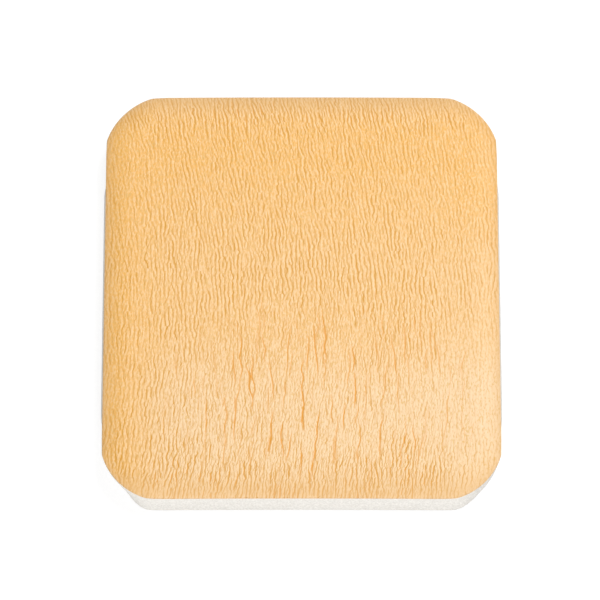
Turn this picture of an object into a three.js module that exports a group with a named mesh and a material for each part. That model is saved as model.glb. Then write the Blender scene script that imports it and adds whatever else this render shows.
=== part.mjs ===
// Foam wound dressing without an adhesive border: a white foam pad under a creased backing film.
// Millimetres, +Z up. It lies flat with its wound face on z = 0 and its film upward.
// X runs across its width and Y along its length, and the origin is the middle of the wound face.
import * as THREE from "three";

// Outline, seen from above
const WIDTH = 75;
const LENGTH = 81;
const CORNER_RADIUS = 12;
const CORNER_KINK = 14.5; // degrees by which each corner arc stops short of its sides
const END_BOW = 0.2; // how far both ends curve, their corners toward -Y of their middle

// Foam pad
const FOAM_THICKNESS = 6.8; // at the middle
const SHOULDER_WIDTH = 5.5; // band inside the rim where the top rolls down
const SHOULDER_DROP = 1.1; // how far it has rolled down at the rim
const SHOULDER_ROUNDNESS = 2.6; // power of the roll: higher is flatter first, steeper at the rim
const WALL_FLARE = 0.5; // how far the foot of the cut wall stands out past the rim
const WALL_CURVE = 1.4; // power of the flare: higher keeps the wall upright longer below the rim
const CORNER_TUCK = 0.35; // how far the foot draws in under the rim at the middle of a corner
const FOOT_EASING = 0.25; // softened edge round the wound face

// Backing film
const FILM_THICKNESS = 0.25; // in the bottom of a crease
const CREASE_DEPTH = 0.14; // crest above the bottom of the deepest crease
const CREASE_PITCH = 0.96; // from crest to crest across the width
const CREASE_LENGTH = 3.5; // between the points where a crease deepens or dies out
const CREASE_BOW = 4.6; // how far the creases bulge toward +X in one long curve
const BOW_PEAK = -9; // where along Y the bow stands out most
const BOW_HOLD = 3; // power of the bow's fading toward the sides: higher keeps it full for longer
const WANDER = 0.28; // side to side waver of a crease
const WANDER_LENGTH = 13; // one waver along Y
const WANDER_SPREAD = 31; // across X before the waver repeats
const JITTER = 0.1; // unevenness of each point of a crease
const SHALLOWEST = 0.35; // share of the depth far from the strained patch
const FAINTEST = 0.4; // share of the depth that the faintest crease has
const CREST_DIP = 0.25; // share of the depth by which a crest may sink
const STRAIN_X = 3; // middle of the patch where the film was stretched most
const STRAIN_Y = -13;
const STRAIN_REACH_X = 25;
const STRAIN_REACH_Y = 22;
const CRACK_SHARE = 0.3; // share of the creases that run unbroken through that patch

// Fineness of the faceting
const CORNER_STEPS = 8;
const STRAIGHT_STEPS = 10;
const SHOULDER_STEPS = 4;
const SHOULDER_CROWDING = 1.5; // power that crowds the shoulder's rows toward the rim
const MIDDLE_STEPS = 8;
const WALL_STEPS = 3;

const rimHeight = FOAM_THICKNESS - SHOULDER_DROP;
const kink = THREE.MathUtils.degToRad(CORNER_KINK);
const cornerX = WIDTH / 2 - CORNER_RADIUS * Math.cos(kink);
const cornerY = LENGTH / 2 - CORNER_RADIUS * Math.cos(kink);
const recentre = (END_BOW * (straightEnd(0) / (WIDTH / 2)) ** 2) / 2;

// The outline, or one that stands outside it by an offset

function kinkAngle(offset) {
  return Math.acos((WIDTH / 2 - cornerX + offset) / (CORNER_RADIUS + offset));
}

function straightEnd(offset) {
  return cornerX + (CORNER_RADIUS + offset) * Math.sin(kinkAngle(offset));
}

function halfLengthAt(x, offset) {
  const past = Math.abs(x) - cornerX;
  if (Math.abs(x) <= straightEnd(offset)) return LENGTH / 2 + offset;
  return cornerY + Math.sqrt((CORNER_RADIUS + offset) ** 2 - past ** 2);
}

function distanceInside(x, y) {
  const pastX = Math.abs(x) - cornerX;
  const pastY = Math.abs(y) - cornerY;
  const toSides = Math.min(WIDTH / 2 - Math.abs(x), LENGTH / 2 - Math.abs(y));
  if (pastX < 0 || pastY < 0) return toSides;
  return Math.min(toSides, CORNER_RADIUS - Math.hypot(pastX, pastY));
}

// Height of the foam's crowned top: flat in the middle, rolled down along the rim
function crownHeight(x, y) {
  const inward = THREE.MathUtils.clamp(distanceInside(x, y) / SHOULDER_WIDTH, 0, 1);
  return FOAM_THICKNESS - SHOULDER_DROP * (1 - inward) ** SHOULDER_ROUNDNESS;
}

// Columns across the pad: close together round the corner arcs, even along the straight stretch
function padColumnX(column, offset) {
  const last = 2 * CORNER_STEPS + STRAIGHT_STEPS;
  const fromEnd = Math.min(column, last - column);
  const side = column * 2 < last ? -1 : 1;
  if (fromEnd >= CORNER_STEPS) {
    const share = (column - CORNER_STEPS) / STRAIGHT_STEPS;
    return THREE.MathUtils.lerp(-straightEnd(offset), straightEnd(offset), share);
  }
  const first = kinkAngle(offset);
  const angle = THREE.MathUtils.lerp(first, Math.PI / 2 - first, fromEnd / CORNER_STEPS);
  return side * (cornerX + (CORNER_RADIUS + offset) * Math.cos(angle));
}

// Rows along a column, as shares of its length: closer together over the two shoulders
function rowShares(middleSteps) {
  const shoulder = SHOULDER_WIDTH / LENGTH;
  const shares = [];
  for (let i = 0; i < SHOULDER_STEPS; i += 1) shares.push(shoulder * (i / SHOULDER_STEPS) ** SHOULDER_CROWDING);
  for (let i = 0; i <= middleSteps; i += 1) shares.push(shoulder + (1 - 2 * shoulder) * (i / middleSteps));
  for (let i = SHOULDER_STEPS - 1; i >= 0; i -= 1) shares.push(1 - shares[i]);
  return shares;
}

const padShares = rowShares(MIDDLE_STEPS);
const padColumns = 2 * CORNER_STEPS + STRAIGHT_STEPS;

function padPoint(column, row, offset) {
  const x = padColumnX(column, offset);
  const half = halfLengthAt(x, offset);
  return [x, THREE.MathUtils.lerp(-half, half, padShares[row])];
}

// A shell is a list of points and of triangles, built up one surface at a time

function newShell() {
  return { points: [], faces: [] };
}

// Every point takes the slight curve of the two ends, with the whole kept centred on the origin
function addPoint(shell, x, y, z) {
  const curve = END_BOW * (x / (WIDTH / 2)) ** 2;
  shell.points.push(x, y - curve + recentre, z);
  return shell.points.length / 3 - 1;
}

function addQuad(shell, a, b, c, d) {
  shell.faces.push(a, b, c, a, c, d);
}

// Points of a sheet, as lists of indices: grid[column][row]
function addGridPoints(shell, columns, rows, pointAt) {
  const grid = [];
  for (let i = 0; i <= columns; i += 1) {
    const line = [];
    for (let j = 0; j <= rows; j += 1) line.push(addPoint(shell, ...pointAt(i, j)));
    grid.push(line);
  }
  return grid;
}

function addSheet(shell, grid, facingUp) {
  for (let i = 0; i < grid.length - 1; i += 1) {
    for (let j = 0; j < grid[i].length - 1; j += 1) {
      const [a, b, c, d] = [grid[i][j], grid[i + 1][j], grid[i + 1][j + 1], grid[i][j + 1]];
      if (facingUp) addQuad(shell, a, b, c, d);
      else addQuad(shell, a, d, c, b);
    }
  }
}

// The four edges of a sheet, counter-clockwise from the -X -Y corner
function edgesOf(grid) {
  const last = grid.length - 1;
  const near = grid.map((line) => line[0]);
  const right = grid[last].slice();
  const far = grid.map((line) => line[line.length - 1]).reverse();
  const left = grid[0].slice().reverse();
  return [near, right, far, left];
}

function loopOf(grid) {
  return edgesOf(grid).flatMap((edge) => edge.slice(0, -1));
}

// Joins two edges that run side by side, the upper one and the lower one, whatever their counts
function stitchEdges(shell, upper, lower, axis) {
  const at = (index) => shell.points[index * 3 + axis];
  const along = Math.sign(at(upper[upper.length - 1]) - at(upper[0]));
  let i = 0;
  let j = 0;
  while (i < upper.length - 1 || j < lower.length - 1) {
    const upperNext = i < upper.length - 1 ? at(upper[i + 1]) * along : Infinity;
    const lowerNext = j < lower.length - 1 ? at(lower[j + 1]) * along : Infinity;
    if (upperNext < lowerNext) {
      shell.faces.push(upper[i], lower[j], upper[i + 1]);
      i += 1;
    } else {
      shell.faces.push(upper[i], lower[j], lower[j + 1]);
      j += 1;
    }
  }
}

function stitchLoops(shell, upper, lower) {
  for (let i = 0; i < upper.length; i += 1) {
    const next = (i + 1) % upper.length;
    addQuad(shell, upper[i], lower[i], lower[next], upper[next]);
  }
}

function toMesh(name, shell, material) {
  const geometry = new THREE.BufferGeometry();
  geometry.setAttribute("position", new THREE.Float32BufferAttribute(shell.points, 3));
  geometry.setIndex(shell.faces);
  geometry.computeVertexNormals();
  const mesh = new THREE.Mesh(geometry, material);
  mesh.name = name;
  return mesh;
}

// The foam pad: crowned top, flared cut wall, eased foot and flat wound face

function padTopPoint(column, row) {
  const [x, y] = padPoint(column, row, 0);
  return [x, y, crownHeight(x, y)];
}

// How far the wall stands out past the rim: flared along the sides and tucked in at the corners
function wallOffset(column, down) {
  const fromEnd = Math.min(column, padColumns - column, CORNER_STEPS);
  const corner = Math.sin((Math.PI * fromEnd) / CORNER_STEPS);
  return THREE.MathUtils.lerp(WALL_FLARE, -CORNER_TUCK, corner) * down ** WALL_CURVE;
}

function addWallLoop(shell, pattern, down, easing, z) {
  return pattern.map(([column, row]) => {
    const [x, y] = padPoint(column, row, wallOffset(column, down) - easing);
    return addPoint(shell, x, y, z);
  });
}

function buildFoamPad() {
  const shell = newShell();
  const rows = padShares.length - 1;
  const top = addGridPoints(shell, padColumns, rows, padTopPoint);
  addSheet(shell, top, true);

  const stations = Array.from({ length: padColumns + 1 }, (_, i) => padShares.map((_, j) => [i, j]));
  const pattern = loopOf(stations);
  let upper = loopOf(top);
  for (let step = 1; step <= WALL_STEPS; step += 1) {
    const down = step / WALL_STEPS;
    const z = THREE.MathUtils.lerp(rimHeight, FOOT_EASING, down);
    const lower = addWallLoop(shell, pattern, down, 0, z);
    stitchLoops(shell, upper, lower);
    upper = lower;
  }
  const foot = addWallLoop(shell, pattern, 1, FOOT_EASING, 0);
  stitchLoops(shell, upper, foot);

  const outline = foot.map((index) => new THREE.Vector2(shell.points[index * 3], shell.points[index * 3 + 1]));
  for (const [a, b, c] of THREE.ShapeUtils.triangulateShape(outline, [])) {
    shell.faces.push(foot[c], foot[b], foot[a]);
  }
  const material = new THREE.MeshStandardMaterial({ color: "#f3eee7", roughness: 0.95, metalness: 0 });
  return toMesh("foam_pad", shell, material);
}

// The backing film: its underside lies on the foam's top, its top carries the creases

const creases = Math.round(WIDTH / CREASE_PITCH);
const filmColumns = 2 * creases;
const filmShares = rowShares(Math.round((LENGTH - 2 * SHOULDER_WIDTH) / CREASE_LENGTH));

// A repeatable number from 0 to 1 for each pair of whole numbers
function scatter(a, b) {
  const mixed = Math.sin(a * 12.9898 + b * 78.233) * 43758.5453;
  return mixed - Math.floor(mixed);
}

// Sideways place of a crease line: evenly spaced, then bowed, wavered and made uneven
function creaseX(column, row) {
  const even = (column / filmColumns - 0.5) * WIDTH;
  const y = (filmShares[row] - 0.5) * LENGTH;
  const hold = 1 - Math.abs((2 * even) / WIDTH) ** BOW_HOLD;
  const bow = CREASE_BOW * (1 - ((y - BOW_PEAK) / (LENGTH / 2 - BOW_PEAK)) ** 2);
  const waver = WANDER * Math.sin(2 * Math.PI * (y / WANDER_LENGTH + even / WANDER_SPREAD));
  return even + hold * (bow + waver + JITTER * (2 * scatter(column, row) - 1));
}

// Share of the full crease depth at a point: most in the strained patch
function strainAt(x, y) {
  const away = Math.hypot((x - STRAIN_X) / STRAIN_REACH_X, (y - STRAIN_Y) / STRAIN_REACH_Y);
  return THREE.MathUtils.lerp(SHALLOWEST, 1, Math.exp(-(away ** 2)));
}

function creaseDepthAt(column, row, x, y) {
  const isCrest = column % 2 === 0;
  const strain = strainAt(x, y);
  const chance = scatter(row, column);
  const broken = isCrest ? CREST_DIP * chance : THREE.MathUtils.lerp(FAINTEST, 1, chance);
  const isCrack = !isCrest && scatter(column, column) < CRACK_SHARE;
  return CREASE_DEPTH * strain * (isCrack ? Math.max(broken, strain) : broken);
}

function filmTopPoint(column, row) {
  const x = creaseX(column, row);
  const half = halfLengthAt(x, 0);
  const y = THREE.MathUtils.lerp(-half, half, filmShares[row]);
  const crest = crownHeight(x, y) + FILM_THICKNESS + CREASE_DEPTH;
  return [x, y, crest - creaseDepthAt(column, row, x, y)];
}

function buildBackingFilm() {
  const shell = newShell();
  const top = addGridPoints(shell, filmColumns, filmShares.length - 1, filmTopPoint);
  addSheet(shell, top, true);
  const underside = addGridPoints(shell, padColumns, padShares.length - 1, padTopPoint);
  addSheet(shell, underside, false);
  const topEdges = edgesOf(top);
  edgesOf(underside).forEach((edge, i) => stitchEdges(shell, topEdges[i], edge, i % 2));
  const material = new THREE.MeshStandardMaterial({ color: "#f6c88c", roughness: 0.5, metalness: 0 });
  return toMesh("backing_film", shell, material);
}

const group = new THREE.Group();
group.add(buildFoamPad());
group.add(buildBackingFilm());

export default group;
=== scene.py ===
import math

import bmesh
import bpy
import numpy as np
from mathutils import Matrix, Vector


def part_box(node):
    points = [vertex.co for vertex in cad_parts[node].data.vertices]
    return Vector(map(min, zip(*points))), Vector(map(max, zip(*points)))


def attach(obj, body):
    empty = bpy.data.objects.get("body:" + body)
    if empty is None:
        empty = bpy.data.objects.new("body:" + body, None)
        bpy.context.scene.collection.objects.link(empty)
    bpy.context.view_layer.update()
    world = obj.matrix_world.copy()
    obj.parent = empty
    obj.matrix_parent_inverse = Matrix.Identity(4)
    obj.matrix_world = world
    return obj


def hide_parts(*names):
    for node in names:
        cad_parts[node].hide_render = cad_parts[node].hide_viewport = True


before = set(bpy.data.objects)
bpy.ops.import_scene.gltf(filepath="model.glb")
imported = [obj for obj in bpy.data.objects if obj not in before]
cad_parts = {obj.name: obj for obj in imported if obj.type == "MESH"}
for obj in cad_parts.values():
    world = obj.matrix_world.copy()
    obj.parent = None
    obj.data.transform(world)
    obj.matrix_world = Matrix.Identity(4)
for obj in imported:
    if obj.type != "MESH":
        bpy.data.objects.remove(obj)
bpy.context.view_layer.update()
mm = 0.001
print("frame loaded:", sorted(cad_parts))

# what the film and the foam share: the outline seen from above and the roll of the top

filmLow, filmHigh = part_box("backing_film")
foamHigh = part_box("foam_pad")[1]

padShape = {
    "halfWidth": (filmHigh.x - filmLow.x) / 2,
    "halfLength": 40.5 * mm,
    "cornerRadius": 12.0 * mm,
    "cornerKink": math.radians(14.5),  # how far the corner arcs stop short of the sides
    "kinkEasing": 0.09 * mm,  # softens the change from arc to end
    "kinkReach": 0.6 * mm,  # how far the arc may stand past the end before the easing stops counting
    "endBow": 0.2 * mm,  # both ends curve, their corners toward -Y of their middle
    "topHeight": foamHigh.z,
    "shoulderWidth": 5.5 * mm,  # the top rolls down over this width, by this drop
    "shoulderDrop": 1.1 * mm,
    "shoulderRoundness": 2.6,
    "wallFlare": foamHigh.x - filmHigh.x,  # how far the foot of the wall stands out past the rim
    "wallCurve": 1.4,
    "leftTuck": 1.1 * mm,  # how far the foot draws in under the rim at the corners
    "rightTuck": 0.45 * mm,
    "tuckStart": 7.0 * mm,  # how far before a corner the foot starts to draw in along the sides
    "tuckEnd": 2.0 * mm,  # and how far past the start of the corner it no longer fades
    "tuckTurn": (math.radians(76), math.radians(42)),  # where along the arc it starts and is at its most
    "footEasing": 0.25 * mm,
    "farCornerEase": 0.5 * mm,  # the far corners are cut a little rounder than the near ones
    "nearCornerEase": 0.25 * mm,
    "coarseColumns": 60,  # of the sheet between film and foam, which is out of sight
    "coarseRows": 64,
}
cornerReach = padShape["cornerRadius"] * math.cos(padShape["cornerKink"])
cornerX = padShape["halfWidth"] - cornerReach
cornerY = padShape["halfLength"] - cornerReach
straightEnd = cornerX + padShape["cornerRadius"] * math.sin(padShape["cornerKink"])
recentre = padShape["endBow"] * (straightEnd / padShape["halfWidth"]) ** 2 / 2


def halfLengthAt(x, offset):  # how far the outline, grown by offset, reaches along Y at each x
    radius = padShape["cornerRadius"] + offset
    past = np.clip(np.abs(x) - cornerX, 0, None)
    arc = cornerY + np.sqrt(np.clip(radius**2 - past**2, 0, None))
    gap = np.clip(arc - padShape["halfLength"] - offset, -1, padShape["kinkReach"]) / padShape["kinkEasing"]
    return padShape["halfLength"] + offset + np.minimum(gap, 0) * padShape["kinkEasing"] - (
        padShape["kinkEasing"] * np.log1p(np.exp(-np.abs(gap)))
    )


def distanceInside(x, y):  # how far inside the rim each place is
    toSides = np.minimum(padShape["halfWidth"] - np.abs(x), padShape["halfLength"] - np.abs(y))
    pastX, pastY = np.abs(x) - cornerX, np.abs(y) - cornerY
    toArc = padShape["cornerRadius"] - np.hypot(pastX, pastY)
    return np.where((pastX > 0) & (pastY > 0), np.minimum(toSides, toArc), toSides)


def crownHeight(x, y):  # the height of the foam's top, lower over the shoulder
    inward = np.clip(distanceInside(x, y) / padShape["shoulderWidth"], 0, 1)
    return padShape["topHeight"] - padShape["shoulderDrop"] * (1 - inward) ** padShape["shoulderRoundness"]


def smoothStep(low, high, value):
    t = np.clip((value - low) / (high - low), 0, 1)
    return t * t * (3 - 2 * t)


def cornerShare(x, y):  # 1 round a corner, fading out along its side and within the arc toward its end
    pastX, pastY = np.clip(np.abs(x) - cornerX, 0, None), np.clip(np.abs(y) - cornerY, 0, None)
    turn = np.arctan2(pastY, pastX + 1e-9)
    alongSide = smoothStep(cornerY - padShape["tuckStart"], cornerY + padShape["tuckEnd"], np.abs(y))
    return alongSide * smoothStep(*padShape["tuckTurn"], turn)


def cornerTuck(x):  # how far the foot draws in at the corners of this side
    return padShape["rightTuck"] + (padShape["leftTuck"] - padShape["rightTuck"]) * (x < 0)


def makeGrid(name, columns, rows):  # a flat unit grid, with each vertex's share along both sides
    bpy.ops.object.select_all(action="DESELECT")
    bpy.ops.mesh.primitive_grid_add(x_subdivisions=columns, y_subdivisions=rows, size=1)
    grid = bpy.context.object
    grid.name = name
    points = readPoints(grid)
    return grid, points[:, 0] + 0.5, points[:, 1] + 0.5


def readPoints(piece):
    flat = np.zeros(len(piece.data.vertices) * 3)
    piece.data.vertices.foreach_get("co", flat)
    return flat.reshape(-1, 3)


def writePoints(piece, x, y, z):  # every point takes the curve of the ends and the easing of the corners
    intoX = np.clip((np.abs(x) - cornerX) / cornerReach, 0, 1)
    intoY = np.clip((np.abs(y) - cornerY) / cornerReach, 0, 1)
    ease = intoX * intoY * np.where(y > 0, padShape["farCornerEase"], padShape["nearCornerEase"])
    x, y = x - np.sign(x) * ease, y - np.sign(y) * ease
    y = y - padShape["endBow"] * (x / padShape["halfWidth"]) ** 2 + recentre
    piece.data.vertices.foreach_set("co", np.stack([x, y, z], axis=1).ravel())
    piece.data.update()


def writeAttribute(piece, name, values):
    attribute = piece.data.attributes.new(name, "FLOAT", "POINT")
    attribute.data.foreach_set("value", values.astype(np.float32))


def writeVector(piece, name, values):
    attribute = piece.data.attributes.new(name, "FLOAT_VECTOR", "POINT")
    attribute.data.foreach_set("vector", values.astype(np.float32).ravel())


def turnOver(piece):
    bpy.ops.object.select_all(action="DESELECT")
    piece.select_set(True)
    bpy.context.view_layer.objects.active = piece
    bpy.ops.object.mode_set(mode="EDIT")
    bpy.ops.mesh.select_all(action="SELECT")
    bpy.ops.mesh.flip_normals()
    bpy.ops.object.mode_set(mode="OBJECT")


def joinPieces(name, *pieces):
    bpy.ops.object.select_all(action="DESELECT")
    for piece in pieces:
        piece.select_set(True)
    bpy.context.view_layer.objects.active = pieces[0]
    bpy.ops.object.join()
    joined = bpy.context.object
    joined.name = joined.data.name = name
    return joined


def openLoops(mesh):  # the open edges as rings of vertices, each counter-clockwise from its -X -Y corner
    left = {e for e in mesh.edges if e.is_boundary}
    rings = []
    while left:
        edge = left.pop()
        ring = [edge.verts[0], edge.verts[1]]
        while True:
            nextEdge = next((e for e in ring[-1].link_edges if e in left), None)
            if nextEdge is None:
                break
            left.discard(nextEdge)
            ring.append(nextEdge.other_vert(ring[-1]))
        if ring[-1] is ring[0]:
            ring.pop()
        area = sum(a.co.x * b.co.y - b.co.x * a.co.y for a, b in zip(ring, ring[1:] + ring[:1]))
        if area < 0:
            ring.reverse()
        start = min(range(len(ring)), key=lambda i: ring[i].co.x + ring[i].co.y)
        rings.append(ring[start:] + ring[:start])
    return rings


def turnShare(ring):  # how far round the ring each vertex is, from 0 to 1, as an angle about the middle
    angles = [math.atan2(v.co.y, v.co.x) for v in ring]
    first = angles[0]
    return [((a - first) / math.tau) % 1.0 for a in angles]


def sewRings(piece):  # closes the gap between the two open rings, whatever their vertex counts
    mesh = bmesh.new()
    mesh.from_mesh(piece.data)
    rings = openLoops(mesh)
    upper, lower = sorted(rings, key=lambda ring: -sum(v.co.z for v in ring) / len(ring))
    upperShares, lowerShares = turnShare(upper), turnShare(lower)
    i = j = 0
    while i < len(upper) or j < len(lower):
        nextUpper = upperShares[i + 1] if i + 1 < len(upper) else 1 + (i >= len(upper))
        nextLower = lowerShares[j + 1] if j + 1 < len(lower) else 1 + (j >= len(lower))
        a, b = upper[i % len(upper)], lower[j % len(lower)]
        if j >= len(lower) or (i < len(upper) and nextUpper <= nextLower):
            mesh.faces.new((a, b, upper[(i + 1) % len(upper)]))
            i += 1
        else:
            mesh.faces.new((a, b, lower[(j + 1) % len(lower)]))
            j += 1
    for face in mesh.faces:
        face.smooth = True
    mesh.to_mesh(piece.data)
    mesh.free()


# camera: long lens, looking down the near side

camera = {
    "tilt": math.radians(20.0),
    "distance": 0.88,
    "lens": 276.2,
    "target": (-0.3 * mm, 1.13 * mm, 0.0),
}


def addCamera():
    x, y, z = camera["target"]
    back = (0.0, -math.sin(camera["tilt"]), math.cos(camera["tilt"]))
    place = [t + b * camera["distance"] for t, b in zip((x, y, z), back)]
    bpy.ops.object.camera_add(location=place, rotation=(camera["tilt"], 0, 0))
    bpy.context.scene.camera = bpy.context.object
    bpy.context.object.data.lens = camera["lens"]
    print("camera placed")


# backing film: a fine grid along the flow of the creases, sunk along each crease

film = {
    "columns": 560,
    "rows": 166,
    "rowCrowding": 0.2,  # rows stand closer together over the near and far rims
    "thickness": 0.25 * mm,
    "creaseDepth": 0.14 * mm,
    "creaseShare": 0.75,  # how much of that depth a groove of strength 1 takes
    "grooveLimits": (-0.4, 1.3),  # the highest ridge and the deepest groove, as strengths
    "lipDrop": 0.13 * mm,  # the cut edge of the film turns down a little
    "lipReach": 0.22 * mm,
    "rimShadeReach": 1.1 * mm,  # how wide the painted shade along the rolled-down cut edge is
    "nearEndShade": (0.55, -34 * mm, -39 * mm),  # the same painted shade over the rolled-down near and far ends: how much, and from where to where
    "farEndShade": (0.5, 35 * mm, 39 * mm),
    "bow": 5.8 * mm,  # the creases bulge toward +X by this, most at the peak
    "bowPeak": -14 * mm,
    "bowHold": 3,  # the higher, the nearer to the sides the grid follows the bow
    "seed": 7,
    "drawingStep": 0.1 * mm,  # the creases are first drawn on a flat sheet this fine
}

stretched = {  # the patch where the film was stretched
    "middle": (4 * mm, -20 * mm),
    "reach": (34 * mm, 21 * mm),
    "edge": 1.2,  # where the strain ends, as a share of the reach, squared
}

creaseLevel = {  # how much weaker or stronger the creases are, coming in from one place to another
    "right": (18 * mm, 34 * mm),  # weaker toward the right, and more so in its near part
    "rightLoss": 0.3,
    "nearRight": (0.4, 8 * mm, -18 * mm),
    "left": (0.3, -20 * mm, -35 * mm),
    "far": (0.25, 4 * mm, 24 * mm),
    "farEnd": (0.45, 31 * mm, 36 * mm),  # stronger over both ends
    "nearEnd": (0.5, -27 * mm, -36 * mm),
}

paintedSheenAndShadeMap = {  # painted sheen and shade: how much paler the film is painted where sheen falls, or richer if negative where it lies in shade, coming in from one place to another
    "middle": 0.39,
    "near": (0.45, -4 * mm, -24 * mm),
    "nearMore": (0.16, -8 * mm, -26 * mm),
    "farBand": (-0.28, 29.5 * mm, 5 * mm),  # this one is a soft band, with its middle and half its width
    "far": (-0.24, 4 * mm, 22 * mm),
    "farEnd": (42 * mm, 33 * mm),  # where that one comes in again, from the far end
    "right": (0.16, 14 * mm, 34 * mm),
    "rightFrom": (16 * mm, -8 * mm),  # along Y it comes in here
    "farRight": (-0.16, 24 * mm, 36 * mm),
    "farRightFrom": (6 * mm, 20 * mm),
    "leftRim": (0.95, -22 * mm, -37 * mm),  # the share of the painted sheen that is lost toward the shaded left rim
}

# the lines of each kind: how far apart they are and how evenly, how far they fan out, how sharp and deep
# they are, and the size of the patches in which they come and go. Where the film is calm, stretched or near
# an end, a higher limit leaves fewer lines, and "fainter" is what the strain takes off them.

creaseLines = {
    "main": {
        "pitch": 0.79 * mm,
        "spread": 0.2,
        "fan": 0.25,
        "sharpness": 2.0,
        "depth": 0.8,
        "patch": (0.6 * mm, 3.0 * mm),
        "calm": -1.8,
        "stretched": -0.1,
        "ends": -1.2,
        "fainter": 0.42,
    },
    "fine": {
        "pitch": 0.52 * mm,
        "spread": 0.2,
        "fan": 0.34,
        "sharpness": 1.5,
        "depth": 0.3,
        "patch": (0.5 * mm, 1.3 * mm),
        "calm": -0.3,
        "stretched": -1.5,
        "ends": -1.4,
        "fainter": 0.1,
    },
    "bold": {
        "pitch": 1.5 * mm,
        "spread": 0.2,
        "fan": 0.12,
        "sharpness": 8.0,
        "depth": 0.6,
        "patch": (0.6 * mm, 5.0 * mm),
        "calm": 0.6,
        "stretched": 1.2,
        "ends": 1.0,
        "fainter": 0.0,
    },
}

lineDrawing = {
    "softness": (0.6, 0.8),  # how softly a line starts, below and above its limit
    "ends": (26 * mm, 36 * mm),  # where the limit for the ends takes over
    "forkSize": (0.1, 0.6),  # the waves cancel out where lines fork, and the line fades
    "unevenLeast": 0.55,  # along each line the strength goes up and down
    "unevenGain": 0.6,
    "unevenRange": (-1, 1.4),
    "unevenPatch": (0.7 * mm, 4.0 * mm),
    "level": 0.25,  # the middle between groove and ridge
}

waver = {"reach": 0.06 * mm, "patch": (0.8 * mm, 0.9 * mm)}  # the lines aren't quite smooth

cracks = {  # the long single creases of the stretched patch
    "across": 2.9 * mm,  # how far apart they are, across and along
    "along": 5.4 * mm,
    "length": (3.6 * mm, 11.5 * mm),
    "reach": 0.46 * mm,  # half the width of the strip in which a crack is drawn
    "tipWidth": 0.6,  # of that strip at the tips of a crack, as a share
    "depth": (0.15, 1.15),
    "leastDepth": 0.1,  # fainter ones are left out
    "slant": 0.07,
    "bend": (0.05 * mm, 0.26 * mm),
    "bendLength": (3.5 * mm, 9.0 * mm),
    "search": 1.6 * mm,  # how far to each side of its middle a crack can run
    "sharpness": 3,
    "level": 0.2,
}


def bowShift(y):  # how far the creases bulge toward +X
    toEnd = padShape["halfLength"] - film["bowPeak"]
    return film["bow"] * (1 - ((y - film["bowPeak"]) / toEnd) ** 2)


def flowShift(even, y):  # the same for the grid, which stays put along the sides
    return bowShift(y) * (1 - np.abs(even / padShape["halfWidth"]) ** film["bowHold"])


def strainAt(x, y):  # where the film was stretched: long single creases with a fine grain between them
    wide = ((x - stretched["middle"][0]) / stretched["reach"][0]) ** 2
    long = ((y - stretched["middle"][1]) / stretched["reach"][1]) ** 2
    return smoothStep(stretched["edge"], 0.0, wide + long)


def ramp(change, value):  # an amount that comes in from one place to another
    return change[0] * smoothStep(change[1], change[2], value)


def creaseStrength(x, y):
    rightLoss = creaseLevel["rightLoss"] + ramp(creaseLevel["nearRight"], y)
    right = 1 - rightLoss * smoothStep(*creaseLevel["right"], x)
    left = 1 - ramp(creaseLevel["left"], x)
    along = 1 - ramp(creaseLevel["far"], y)
    along += ramp(creaseLevel["farEnd"], y) + ramp(creaseLevel["nearEnd"], y)
    return right * left * along


def paintedSheenAndShade(x, y):  # painted sheen and shade: 0 where the film shows its saturated colour in shade, 1 where sheen is painted on it pale
    bandChange, bandMiddle, bandReach = paintedSheenAndShadeMap["farBand"]
    tone = paintedSheenAndShadeMap["middle"] + ramp(paintedSheenAndShadeMap["near"], y) + ramp(paintedSheenAndShadeMap["nearMore"], y)
    tone += bandChange * np.exp(-(((y - bandMiddle) / bandReach) ** 2))
    tone += ramp(paintedSheenAndShadeMap["far"], y) * smoothStep(*paintedSheenAndShadeMap["farEnd"], y)
    tone += ramp(paintedSheenAndShadeMap["right"], x) * smoothStep(*paintedSheenAndShadeMap["rightFrom"], y)
    tone *= 1 - ramp(paintedSheenAndShadeMap["leftRim"], x)
    tone += ramp(paintedSheenAndShadeMap["farRight"], x) * smoothStep(*paintedSheenAndShadeMap["farRightFrom"], y)
    return np.clip(tone, 0, 1)


def waveSheet(shape, kind, rng):  # waves of one pitch with crests along Y, as length and turn of a phase
    across = np.fft.fftfreq(shape[0], film["drawingStep"])[:, None]
    along = np.fft.fftfreq(shape[1], film["drawingStep"])[None, :]
    turn = np.arctan2(along, np.abs(across) + 1e-9)
    offPitch = (np.hypot(across, along) * kind["pitch"] - 1) / kind["spread"]
    keep = np.exp(-0.5 * offPitch**2 - 0.5 * (turn / kind["fan"]) ** 2) * (across > 0)
    sheet = np.fft.ifft2(np.fft.fft2(rng.standard_normal(shape)) * keep)
    return np.abs(sheet) / np.sqrt(np.mean(np.abs(sheet) ** 2)), np.angle(sheet)


def blotchSheet(shape, patch, rng):  # soft blotches as wide and as long as the patch
    across = np.fft.fftfreq(shape[0], film["drawingStep"])[:, None] * patch[0]
    along = np.fft.fftfreq(shape[1], film["drawingStep"])[None, :] * patch[1]
    sheet = np.fft.ifft2(np.fft.fft2(rng.standard_normal(shape)) * np.exp(-2 * (across**2 + along**2))).real
    return sheet / sheet.std()


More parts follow.
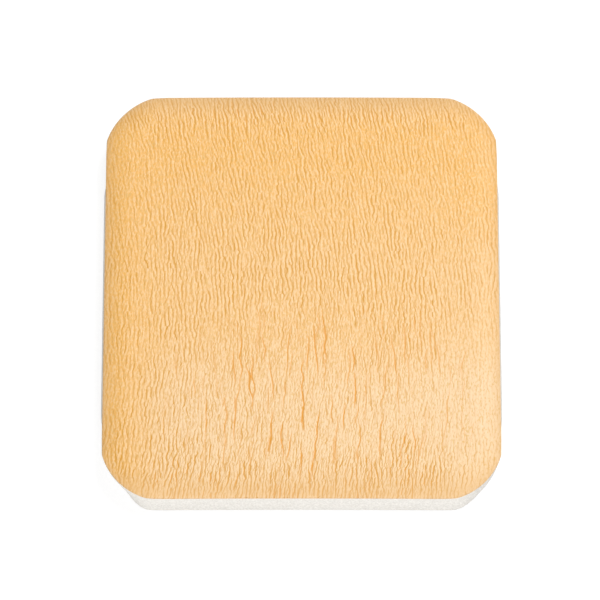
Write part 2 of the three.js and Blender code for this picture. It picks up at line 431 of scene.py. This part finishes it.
def drawLines(t, strain, lines, rng):  # a groove along every crest of the waves, forking where two meet
    shape = t.shape
    size, turn = waveSheet(shape, lines, rng)
    limit = lines["calm"] + (lines["stretched"] - lines["calm"]) * strain
    limit += (lines["ends"] - lines["calm"]) * smoothStep(*lineDrawing["ends"], np.abs(t))
    below, above = lineDrawing["softness"]
    kept = smoothStep(limit - below, limit + above, blotchSheet(shape, lines["patch"], rng))
    kept *= smoothStep(*lineDrawing["forkSize"], size) * (1 - lines["fainter"] * strain)
    uneven = smoothStep(*lineDrawing["unevenRange"], blotchSheet(shape, lineDrawing["unevenPatch"], rng))
    kept *= lineDrawing["unevenLeast"] + lineDrawing["unevenGain"] * uneven
    groove = ((1 + np.cos(turn)) / 2) ** lines["sharpness"] - lineDrawing["level"]
    return lines["depth"] * kept * groove, (np.cos(turn), np.sin(turn), kept)


def drawCracks(s, t, rng):  # as drawLines does: the place within each crack as a turn, and its strength
    halfWidth, halfLength = padShape["halfWidth"], padShape["halfLength"]
    across, along = int(2 * halfWidth / cracks["across"]), int(2 * halfLength / cracks["along"])
    middleS, middleT = np.meshgrid(np.arange(across), np.arange(along), indexing="ij")
    middleS = ((middleS + rng.uniform(0, 1, middleS.shape)) / across * 2 - 1).ravel() * halfWidth
    middleT = ((middleT + rng.uniform(0, 1, middleT.shape)) / along * 2 - 1).ravel() * halfLength
    turn, strength = np.full(s.shape, math.pi), np.zeros(s.shape)
    for midS, midT in zip(middleS, middleT):
        half = rng.uniform(*cracks["length"]) / 2
        depth = rng.uniform(*cracks["depth"]) * strainAt(midS + bowShift(midT), midT)
        slant = rng.normal(0, cracks["slant"])
        bend = rng.uniform(*cracks["bend"])
        bendLength = rng.uniform(*cracks["bendLength"])
        phase = rng.uniform(0, 6)
        if depth < cracks["leastDepth"]:
            continue
        first, last = np.searchsorted(s[:, 0], (midS - cracks["search"], midS + cracks["search"]))
        low, high = np.searchsorted(t[0], (midT - half, midT + half))
        rise = t[first:last, low:high] - midT
        place = midS + slant * rise + bend * np.sin(math.tau * rise / bendLength + phase)
        taper = (1 - (rise / half) ** 2).clip(0) ** 0.5
        width = cracks["tipWidth"] + (1 - cracks["tipWidth"]) * taper
        away = (s[first:last, low:high] - place) / cracks["reach"] / width
        own = math.pi * np.clip(away, -1, 1)
        nearer = np.abs(own) < np.abs(turn[first:last, low:high])
        turn[first:last, low:high] = np.where(nearer, own, turn[first:last, low:high])
        strength[first:last, low:high] = np.where(nearer, depth * taper, strength[first:last, low:high])
    groove = ((1 + np.cos(turn)) / 2) ** cracks["sharpness"] - cracks["level"]
    return strength * groove, (np.cos(turn), np.sin(turn), strength)


def drawSheets():  # the pattern of creases on flat sheets, wider than the pad by the bow
    step = film["drawingStep"]
    low = -padShape["halfWidth"] - film["bow"]
    s = np.arange(low, padShape["halfWidth"] + film["bow"], step)
    t = np.arange(-padShape["halfLength"] - 2 * step, padShape["halfLength"] + 2 * step, step)
    s, t = np.meshgrid(s, t, indexing="ij")
    strain = strainAt(s + bowShift(t), t)
    strength = creaseStrength(s + bowShift(t), t)
    rng = np.random.default_rng(film["seed"])
    groove, cracked = drawCracks(s, t, rng)
    sheets = {"crack": cracked}
    for name, lines in creaseLines.items():
        ownGroove, (acrossWave, alongWave, kept) = drawLines(t, strain, lines, rng)
        groove += ownGroove
        sheets[name] = (acrossWave, alongWave, kept * strength)
    sheets["groove"] = (groove * strength,)
    sheets["bend"] = (waver["reach"] * blotchSheet(s.shape, waver["patch"], rng),)
    return sheets, (s[0, 0], t[0, 0])


def sampleSheet(sheet, corner, s, t):  # the sheet's value at each place, blended between its points
    a = np.clip((s - corner[0]) / film["drawingStep"], 0, sheet.shape[0] - 2)
    b = np.clip((t - corner[1]) / film["drawingStep"], 0, sheet.shape[1] - 2)
    i, j = a.astype(int), b.astype(int)
    p, q = a - i, b - j
    low = sheet[i, j] * (1 - p) + sheet[i + 1, j] * p
    high = sheet[i, j + 1] * (1 - p) + sheet[i + 1, j + 1] * p
    return low * (1 - q) + high * q


def filmRows(shares):  # shares along Y, crowded toward both ends
    return shares - film["rowCrowding"] * np.sin(math.tau * shares) / math.tau


def buildFilm():
    top, u, v = makeGrid("filmTop", film["columns"], film["rows"])
    share = filmRows(v) * 2 - 1
    even = (u * 2 - 1) * padShape["halfWidth"]
    x = even + flowShift(even, share * padShape["halfLength"])
    y = share * halfLengthAt(x, 0.0)
    sheets, corner = drawSheets()
    s = x - bowShift(y)
    crackWave = [sampleSheet(sheet, corner, s, y) for sheet in sheets["crack"]]
    writeVector(top, "crackWave", np.stack(crackWave, axis=1))
    s = s + sampleSheet(sheets["bend"][0], corner, s, y)
    groove = sampleSheet(sheets["groove"][0], corner, s, y)
    lip = film["lipDrop"] * np.exp(-np.clip(distanceInside(x, y), 0, None) / film["lipReach"])
    z = crownHeight(x, y) + film["thickness"] + film["creaseDepth"] - lip
    z = z - film["creaseDepth"] * film["creaseShare"] * np.clip(groove, *film["grooveLimits"])
    writePoints(top, x, y, z)
    writeAttribute(top, "crease", np.clip(0.5 + 0.5 * groove, 0, 1))
    writeAttribute(top, "strain", strainAt(x, y))
    # painted sheen and shade, as a tone from the saturated film colour to the pale one
    writeAttribute(top, "tone", paintedSheenAndShade(x, y))
    # painted shade along the rolled-down rim and over both ends
    rim = np.exp(-np.clip(distanceInside(x, y), 0, None) / film["rimShadeReach"])
    ends = ramp(film["nearEndShade"], y) + ramp(film["farEndShade"], y)
    writeAttribute(top, "rim", np.clip(rim + ends, 0, 1))
    for name in ("main", "fine"):
        wave = [sampleSheet(sheet, corner, s, y) for sheet in sheets[name]]
        writeVector(top, name + "Wave", np.stack(wave, axis=1))

    under = coarseTop("filmUnder")
    turnOver(under)
    piece = joinPieces("backingFilm", top, under)
    sewRings(piece)
    piece.data.materials.clear()
    piece.data.materials.append(makeFilmMaterial())
    print("backing film:", len(piece.data.polygons), "faces")
    return piece


def coarseTop(name):  # the crowned top of the foam, in few faces
    sheet, u, v = makeGrid(name, padShape["coarseColumns"], padShape["coarseRows"])
    x = np.sin((u - 0.5) * math.pi) * padShape["halfWidth"]
    y = np.sin((v - 0.5) * math.pi) * halfLengthAt(x, 0.0)
    writePoints(sheet, x, y, crownHeight(x, y))
    return sheet


# foam pad: fine wound face and cut wall, pitted by open cells

foam = {
    "columns": 250,
    "rows": 270,
    "wallSteps": 26,
    "pitDepth": 0.16 * mm,  # how deep the open cells are
    "pitRarity": 3,  # the higher, the fewer of them are deep
    "pitFade": 1.0 * mm,  # the wound face has none at its edge
    "pitEvenness": 0.3,  # the lower, the nearer to foot and rim the wall still has them
    "seed": 3,
}


def tuckCorners(x, y, offset):  # draws the wound face in at its corners, toward the centres of the arcs
    most = (padShape["wallFlare"] + cornerTuck(x)) / (padShape["cornerRadius"] + offset)
    keep = 1 - most * cornerShare(x, y)
    pastX, pastY = np.clip(np.abs(x) - cornerX, 0, None), np.clip(np.abs(y) - cornerY, 0, None)
    return x + np.sign(x) * pastX * (keep - 1), y + np.sign(y) * pastY * (keep - 1)


def buildFoam():
    face, u, v = makeGrid("foamFace", foam["columns"], foam["rows"])
    offset = padShape["wallFlare"] - padShape["footEasing"]
    x = (u * 2 - 1) * (padShape["halfWidth"] + offset)
    y = (v * 2 - 1) * halfLengthAt(x, offset)
    rng = np.random.default_rng(foam["seed"])
    inner = smoothStep(0, foam["pitFade"], distanceInside(x, y) + offset)
    pits = foam["pitDepth"] * rng.random(len(x)) ** foam["pitRarity"] * inner
    writePoints(face, *tuckCorners(x, y, offset), pits)
    turnOver(face)

    mesh = bmesh.new()
    mesh.from_mesh(face.data)
    ring = openLoops(mesh)[0]
    base = np.array([v.co[:2] for v in ring])
    outward = outlineNormals(base)
    rim = padShape["topHeight"] - padShape["shoulderDrop"]
    corner = cornerShare(base[:, 0], base[:, 1])
    most = padShape["wallFlare"] * (1 - corner) - cornerTuck(base[:, 0]) * corner
    for step in range(1, foam["wallSteps"] + 1):
        up = (step - 1) / (foam["wallSteps"] - 1)
        z = padShape["footEasing"] + (rim - padShape["footEasing"]) * up
        out = most * ((1 - up) ** padShape["wallCurve"] - 1) + padShape["footEasing"]
        fade = math.sin(math.pi * up) ** foam["pitEvenness"]
        pits = foam["pitDepth"] * rng.random(len(ring)) ** foam["pitRarity"] * fade
        places = base + outward * (out - pits)[:, None]
        above = [mesh.verts.new((*place, z)) for place in places]
        for i in range(len(ring)):
            j = (i + 1) % len(ring)
            mesh.faces.new((ring[i], ring[j], above[j], above[i]))
        ring = above
    mesh.to_mesh(face.data)
    mesh.free()

    piece = joinPieces("foamPad", face, coarseTop("foamTop"))
    sewRings(piece)
    piece.data.materials.clear()
    piece.data.materials.append(makeFoamMaterial())
    print("foam pad:", len(piece.data.polygons), "faces")
    return piece


def outlineNormals(ring):  # which way the wall faces at each point of the ring, seen from above
    ahead = np.roll(ring, -1, axis=0) - np.roll(ring, 1, axis=0)
    normal = np.stack([ahead[:, 1], -ahead[:, 0]], axis=1)
    return normal / np.linalg.norm(normal, axis=1)[:, None]


# finishes

filmFinish = {
    # the film's own saturated colour, and the pale colour that paints its sheen
    "saturated": (0.91, 0.47, 0.09, 1),
    "pale": (0.93, 0.65, 0.37, 1),
    # pale specks on the grain, painted as the sparkle of sheen
    "sheenSpeck": (0.98, 0.74, 0.46, 1),
    # painted highlight on the ridges beside the lines
    "crest": (0.99, 0.68, 0.36, 1),
    "dull": (0.80, 0.50, 0.17, 1),
    # painted shade in the lines, grooves and cracks, with the deeper orange of folded film
    "deep": (0.70, 0.33, 0.03, 1),
    "crack": (0.80, 0.34, 0.03, 1),
    # painted shade on the rolled-down rim and ends
    "rim": (0.81, 0.51, 0.24, 1),
    "rimShadeShare": 0.5,
    "roughness": 0.46,
    "grainScale": 2700,
    "grainDetail": 1.5,
    "grainRoughness": 0.5,
    "grainStretch": (1.4, 0.62, 1.0),  # the grain is longer along Y
    "grainDepth": 0.1 * mm,
    "grainBump": 0.8,
    "sheenSpecks": (0.48, 0.58),  # which part of the grain is painted pale as sheen specks, and which part dull
    "sheenSpeckShare": 0.4,
    "sheenSpeckStrainShare": 0.15,
    "dulls": (0.46, 0.34),
    "dullShare": 0.8,
    "lineShadeEdge": (1.35, 0.2),  # the painted crease shade of a line, from its edge to its middle, as turns from its crest in radians
    "ridgeHighlightEdge": (1.7, 3.0),  # and the painted highlight on the ridge beside it
    "mainShares": (1.3, 0.75),  # how much of the colour the painted shade of the lines and the painted highlight of their ridges take
    "fineShares": (0.7, 0.55),
    "crackShares": (1.2, 0.4),
    "shadedGrooves": (0.7, 1.0),  # the grooves that get as much painted shade as a crack
}

foamFinish = {
    "base": (0.92, 0.89, 0.84, 1),
    # painted shade in the open cells
    "pitShade": (0.72, 0.69, 0.64, 1),
    "roughness": 0.95,
    "cellScale": 2800,
    "cellDepth": 0.1 * mm,
    "cellBump": 0.6,
}


def newMaterial(name):
    material = bpy.data.materials.new(name)
    material.use_nodes = True
    nodes = material.node_tree.nodes
    return material, nodes, material.node_tree.links, nodes["Principled BSDF"]


def mixColours(nodes, links, factor, first, second):  # each colour is a value or another node's output
    mix = nodes.new("ShaderNodeMix")
    mix.data_type = "RGBA"
    links.new(factor, mix.inputs["Factor"])
    for socket, value in ((mix.inputs["A"], first), (mix.inputs["B"], second)):
        if isinstance(value, tuple):
            socket.default_value = value
        else:
            links.new(value, socket)
    return mix.outputs["Result"]


def mapRange(nodes, links, value, low, high):  # 0 at low and 1 at high, eased
    mapped = nodes.new("ShaderNodeMapRange")
    mapped.interpolation_type = "SMOOTHSTEP"
    mapped.inputs["From Min"].default_value = low
    mapped.inputs["From Max"].default_value = high
    links.new(value, mapped.inputs["Value"])
    return mapped.outputs["Result"]


def attributeSocket(nodes, name, output="Fac"):
    attribute = nodes.new("ShaderNodeAttribute")
    attribute.attribute_name = name
    return attribute.outputs[output]


def calculate(nodes, links, operation, first, second=0.0, third=0.0):  # one step of arithmetic
    step = nodes.new("ShaderNodeMath")
    step.operation = operation
    for socket, value in zip(step.inputs, (first, second, third)):
        if isinstance(value, (int, float)):
            socket.default_value = value
        else:
            links.new(value, socket)
    return step.outputs["Value"]


def drawnLines(nodes, links, name, shares):  # how far a spot lies in a line, painted as crease shade, and on the ridge beside it, painted as highlight
    parts = nodes.new("ShaderNodeSeparateXYZ")
    links.new(attributeSocket(nodes, name, "Vector"), parts.inputs[0])
    turn = calculate(nodes, links, "ARCTAN2", parts.outputs["Y"], parts.outputs["X"])
    away = calculate(nodes, links, "ABSOLUTE", turn)
    drawn = []
    for edge, share in zip((filmFinish["lineShadeEdge"], filmFinish["ridgeHighlightEdge"]), shares):
        inside = mapRange(nodes, links, away, *edge)
        strength = calculate(nodes, links, "MULTIPLY", parts.outputs["Z"], share)
        drawn.append(calculate(nodes, links, "MULTIPLY", inside, strength))
    return drawn


def makeFilmMaterial():
    material, nodes, links, shader = newMaterial("creasedFilm")
    crease = attributeSocket(nodes, "crease")
    strain = attributeSocket(nodes, "strain")
    coords = nodes.new("ShaderNodeTexCoord")
    grain = nodes.new("ShaderNodeTexNoise")
    grain.inputs["Scale"].default_value = filmFinish["grainScale"]
    grain.inputs["Detail"].default_value = filmFinish["grainDetail"]
    grain.inputs["Roughness"].default_value = filmFinish["grainRoughness"]
    longer = nodes.new("ShaderNodeVectorMath")
    longer.operation = "MULTIPLY"
    longer.inputs[1].default_value = filmFinish["grainStretch"]
    links.new(coords.outputs["Object"], longer.inputs[0])
    links.new(longer.outputs["Vector"], grain.inputs["Vector"])

    # painted sheen: the saturated film colour is paled where the tone paints sheen, and left rich where it
    # paints shade
    tone = attributeSocket(nodes, "tone")
    colour = mixColours(nodes, links, tone, filmFinish["saturated"], filmFinish["pale"])
    # painted sheen specks on the grain, more of them over the stretched patch
    sheenSpeck = mapRange(nodes, links, grain.outputs["Fac"], *filmFinish["sheenSpecks"])
    shares = filmFinish["sheenSpeckStrainShare"], filmFinish["sheenSpeckShare"]
    sheenSpeckShare = calculate(nodes, links, "MULTIPLY_ADD", strain, *shares)
    sheenSpeck = calculate(nodes, links, "MULTIPLY", sheenSpeck, sheenSpeckShare)
    colour = mixColours(nodes, links, sheenSpeck, colour, filmFinish["sheenSpeck"])
    dull = mapRange(nodes, links, grain.outputs["Fac"], *filmFinish["dulls"])
    dull = calculate(nodes, links, "MULTIPLY", dull, filmFinish["dullShare"])
    colour = mixColours(nodes, links, dull, colour, filmFinish["dull"])
    # painted crease shade in the lines and cracks, with the deeper orange of folded film, and painted
    # highlights on the ridges beside them
    mainLineShade, mainRidgeHighlight = drawnLines(nodes, links, "mainWave", filmFinish["mainShares"])
    fineLineShade, fineRidgeHighlight = drawnLines(nodes, links, "fineWave", filmFinish["fineShares"])
    crackLineShade, crackRidgeHighlight = drawnLines(nodes, links, "crackWave", filmFinish["crackShares"])
    colour = mixColours(nodes, links, fineRidgeHighlight, colour, filmFinish["crest"])
    colour = mixColours(nodes, links, mainRidgeHighlight, colour, filmFinish["crest"])
    colour = mixColours(nodes, links, fineLineShade, colour, filmFinish["deep"])
    colour = mixColours(nodes, links, crackRidgeHighlight, colour, filmFinish["crest"])
    colour = mixColours(nodes, links, mainLineShade, colour, filmFinish["deep"])
    # painted shade in the deepest grooves and in the cracks
    shadedGroove = mapRange(nodes, links, crease, *filmFinish["shadedGrooves"])
    colour = mixColours(nodes, links, shadedGroove, colour, filmFinish["crack"])
    colour = mixColours(nodes, links, crackLineShade, colour, filmFinish["crack"])
    # painted shade over the rolled-down rim and ends
    rim = calculate(nodes, links, "MULTIPLY", attributeSocket(nodes, "rim"), filmFinish["rimShadeShare"])
    colour = mixColours(nodes, links, rim, colour, filmFinish["rim"])
    links.new(colour, shader.inputs["Base Color"])
    shader.inputs["Roughness"].default_value = filmFinish["roughness"]

    bump = nodes.new("ShaderNodeBump")
    bump.inputs["Strength"].default_value = filmFinish["grainBump"]
    bump.inputs["Distance"].default_value = filmFinish["grainDepth"]
    links.new(grain.outputs["Fac"], bump.inputs["Height"])
    links.new(bump.outputs["Normal"], shader.inputs["Normal"])
    return material


def makeFoamMaterial():
    material, nodes, links, shader = newMaterial("openCellFoam")
    coords = nodes.new("ShaderNodeTexCoord")
    cells = nodes.new("ShaderNodeTexVoronoi")
    cells.inputs["Scale"].default_value = foamFinish["cellScale"]
    links.new(coords.outputs["Object"], cells.inputs["Vector"])
    # painted shade in the open cells, darkest at the middle of each cell
    colour = mixColours(nodes, links, cells.outputs["Distance"], foamFinish["pitShade"], foamFinish["base"])
    links.new(colour, shader.inputs["Base Color"])
    shader.inputs["Roughness"].default_value = foamFinish["roughness"]
    bump = nodes.new("ShaderNodeBump")
    bump.inputs["Strength"].default_value = foamFinish["cellBump"]
    bump.inputs["Distance"].default_value = foamFinish["cellDepth"]
    links.new(cells.outputs["Distance"], bump.inputs["Height"])
    links.new(bump.outputs["Normal"], shader.inputs["Normal"])
    return material


# floor and light

stageSettings = {
    "floorSize": 3.0,
    "floorTone": (0.9, 0.9, 0.9, 1),
    "floorSeenTone": (0.35, 0.35, 0.35, 1),
    "floorRoughness": 0.9,
    "floorLift": 0.75,  # what the camera sees added, so that the open floor is plain white
    "worldStrength": 0.42,
    "key": {"place": (0.34, 0.38, 0.86), "size": 0.45, "power": 5.85},
    "fill": {"place": (-0.1, -1.0, 0.35), "size": 0.8, "power": 6.0},
}


def addFloor():
    bpy.ops.object.select_all(action="DESELECT")
    bpy.ops.mesh.primitive_plane_add(size=stageSettings["floorSize"], location=(0, 0, 0))
    floor = bpy.context.object
    floor.name = "floor"
    material, nodes, links, shader = newMaterial("paperFloor")
    shader.inputs["Roughness"].default_value = stageSettings["floorRoughness"]
    seen = nodes.new("ShaderNodeLightPath").outputs["Is Camera Ray"]
    tone = mixColours(nodes, links, seen, stageSettings["floorTone"], stageSettings["floorSeenTone"])
    links.new(tone, shader.inputs["Base Color"])
    lift = calculate(nodes, links, "MULTIPLY", seen, stageSettings["floorLift"])
    shader.inputs["Emission Color"].default_value = (1, 1, 1, 1)
    links.new(lift, shader.inputs["Emission Strength"])
    floor.data.materials.append(material)
    print("floor laid")


def addSoftbox(name, settings):  # an area lamp that faces the dressing
    bpy.ops.object.light_add(type="AREA", location=settings["place"])
    lamp = bpy.context.object
    lamp.name = name
    lamp.data.size = settings["size"]
    lamp.data.energy = settings["power"]
    lamp.rotation_euler = lamp.location.to_track_quat("Z", "Y").to_euler()


def addLights():
    world = bpy.data.worlds.new("studio")
    bpy.context.scene.world = world
    world.use_nodes = True
    background = world.node_tree.nodes["Background"]
    background.inputs["Strength"].default_value = stageSettings["worldStrength"]
    background.inputs["Color"].default_value = (1, 1, 1, 1)
    addSoftbox("keyLight", stageSettings["key"])
    addSoftbox("fillLight", stageSettings["fill"])
    print("lights placed")


addCamera()
backingFilm = buildFilm()
foamPad = buildFoam()
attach(backingFilm, "root")
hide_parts("backing_film")
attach(foamPad, "root")
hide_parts("foam_pad")
addFloor()
addLights()
bpy.context.scene.view_settings.view_transform = "Standard"
